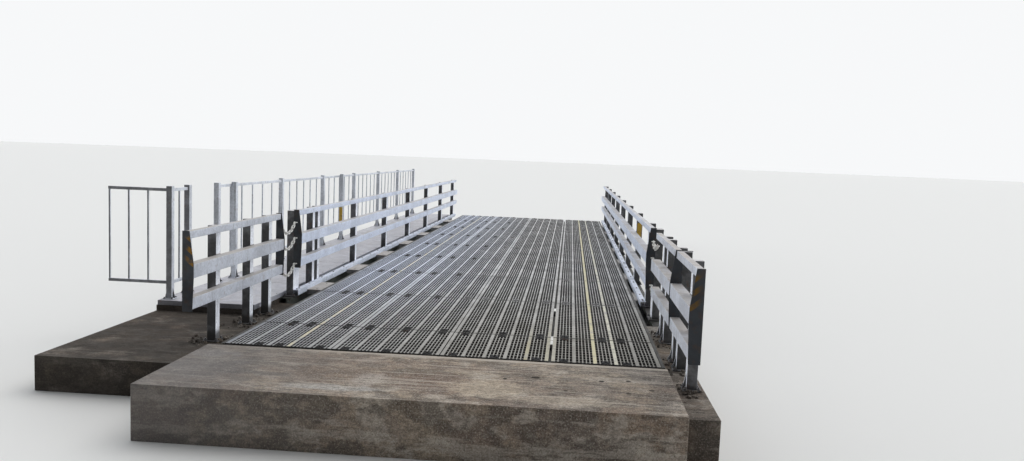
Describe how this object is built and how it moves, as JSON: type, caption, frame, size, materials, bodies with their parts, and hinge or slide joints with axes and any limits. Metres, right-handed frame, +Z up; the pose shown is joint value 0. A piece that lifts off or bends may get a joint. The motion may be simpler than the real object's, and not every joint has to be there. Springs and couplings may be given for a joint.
{
  "type": "maintenance walkway",
  "caption": "Straight steel-grating maintenance walkway with three-rail guardrails, chained gaps, a side strip with a picket fence, and a concrete approach slab.",
  "frame": {"origin": "middle of the underside of the whole walkway", "axes": "+Y along the walkway away from the approach slab, +X to the right, +Z up"},
  "size_m": [5.883, 16.56, 1.585],
  "materials": {
    "concrete": "weathered cast concrete with stains and fine aggregate",
    "deck_steel": "dull galvanised steel, walked on",
    "chain_steel": "galvanised chain",
    "marker_yellow": "faded yellow paint",
    "beam_steel": "pale grey-green paint",
    "strip_plate": "smooth galvanised plate",
    "fence_steel": "galvanised steel",
    "post_steel": "galvanised steel, dull",
    "end_plate_steel": "dark weathered plate",
    "rail_steel": "bright galvanised steel"
  },
  "bodies": {
    "root": {"approach_slab": "concrete", "left_plinth": "concrete", "right_plinth": "concrete", "cross_beams": "beam_steel", "edge_stringers": "beam_steel", "inner_stringers": "beam_steel", "post_beams": "beam_steel", "deck_row_1": "deck_steel", "deck_row_2": "deck_steel", "deck_row_3": "deck_steel", "deck_row_4": "deck_steel", "deck_row_5": "deck_steel", "deck_row_6": "deck_steel", "deck_row_7": "deck_steel", "deck_row_8": "deck_steel", "deck_row_9": "deck_steel", "edge_strips": "rail_steel", "kerbs": "rail_steel", "left_near_posts": "post_steel", "right_near_posts": "post_steel", "left_far_posts": "post_steel", "right_far_posts": "post_steel", "left_near_rails": "rail_steel", "right_near_rails": "rail_steel", "left_top_rail": "rail_steel", "left_middle_rail": "rail_steel", "left_lower_rail": "rail_steel", "right_top_rail": "rail_steel", "right_middle_rail": "rail_steel", "right_lower_rail": "rail_steel", "left_end_plates": "end_plate_steel", "right_end_plates": "end_plate_steel", "strip_bearers": "beam_steel", "side_strip": "strip_plate", "fence_posts": "fence_steel", "fence_short_panel": "fence_steel", "fence_panel_1": "fence_steel", "fence_panel_2": "fence_steel", "fence_panel_3": "fence_steel", "fence_panel_4": "fence_steel", "fence_panel_5": "fence_steel", "fence_panel_6": "fence_steel", "left_chains": "chain_steel", "right_chains": "chain_steel", "marker_plates": "marker_yellow"}
  },
  "joints": []
}
